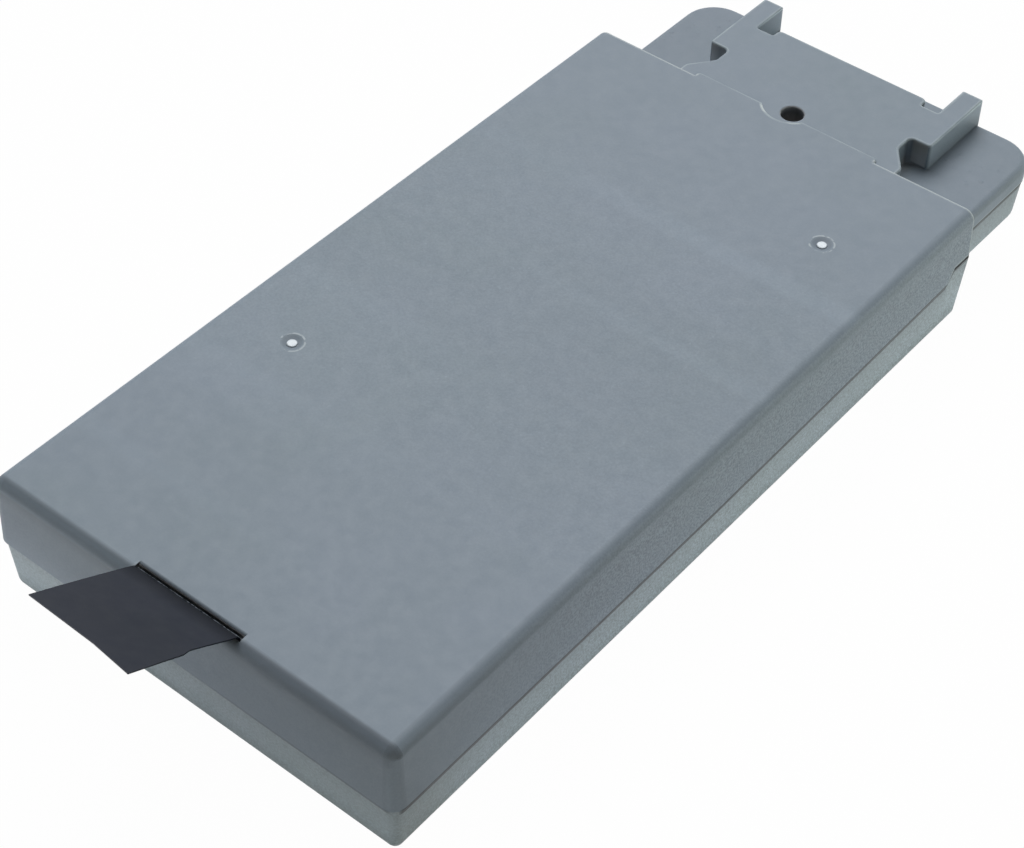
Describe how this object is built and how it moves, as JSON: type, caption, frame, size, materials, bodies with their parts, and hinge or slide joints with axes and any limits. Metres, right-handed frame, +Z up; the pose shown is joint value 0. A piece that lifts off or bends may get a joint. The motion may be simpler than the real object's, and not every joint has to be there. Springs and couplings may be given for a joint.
{
  "type": "laptop battery",
  "caption": "Slim rectangular battery pack in a moulded two-shell housing, with a stepped tongue, hook arms, a locating hole, a terminal block and a film pull tab.",
  "frame": {"origin": "middle of the main housing's flat underside, the tongue and the pull tab left out", "axes": "+X across the pack to the right, +Y along the pack towards the tongue and its terminal block, +Z up out of the top face"},
  "size_m": [0.072, 0.1732, 0.0325],
  "materials": {
    "housing_plastic": "fine-grain blue-grey moulding",
    "film": "smooth dark film",
    "cell_sleeve": "shrink sleeve",
    "insulating_paper": "pressed paper",
    "nickel": "plain strip",
    "wire_black": "wire insulation",
    "board": "solder resist",
    "chip_black": "moulded epoxy",
    "ceramic": "fired ceramic",
    "terminal_black": "moulded terminal block",
    "contact_metal": "plated contact blades"
  },
  "bodies": {
    "root": {"upper_shell": "housing_plastic", "lower_shell": "housing_plastic", "pull_tab": "film", "cell_1": "cell_sleeve", "cell_2": "cell_sleeve", "cell_3": "cell_sleeve", "cell_4": "cell_sleeve", "cell_5": "cell_sleeve", "cell_6": "cell_sleeve", "cell_rings": "insulating_paper", "nickel_strip_negative": "nickel", "nickel_link_first": "nickel", "nickel_link_second": "nickel", "nickel_strip_positive": "nickel", "insulator_left": "insulating_paper", "insulator_right": "insulating_paper", "negative_lead": "wire_black", "sense_lead": "wire_black", "circuit_board": "board", "power_transistor_1": "chip_black", "power_transistor_2": "chip_black", "gauge_chip": "chip_black", "sense_resistor": "chip_black", "cutoff_fuse": "chip_black", "capacitors": "ceramic", "thermistor": "chip_black", "connector_housing": "terminal_black", "connector_contacts": "contact_metal"}
  },
  "joints": []
}
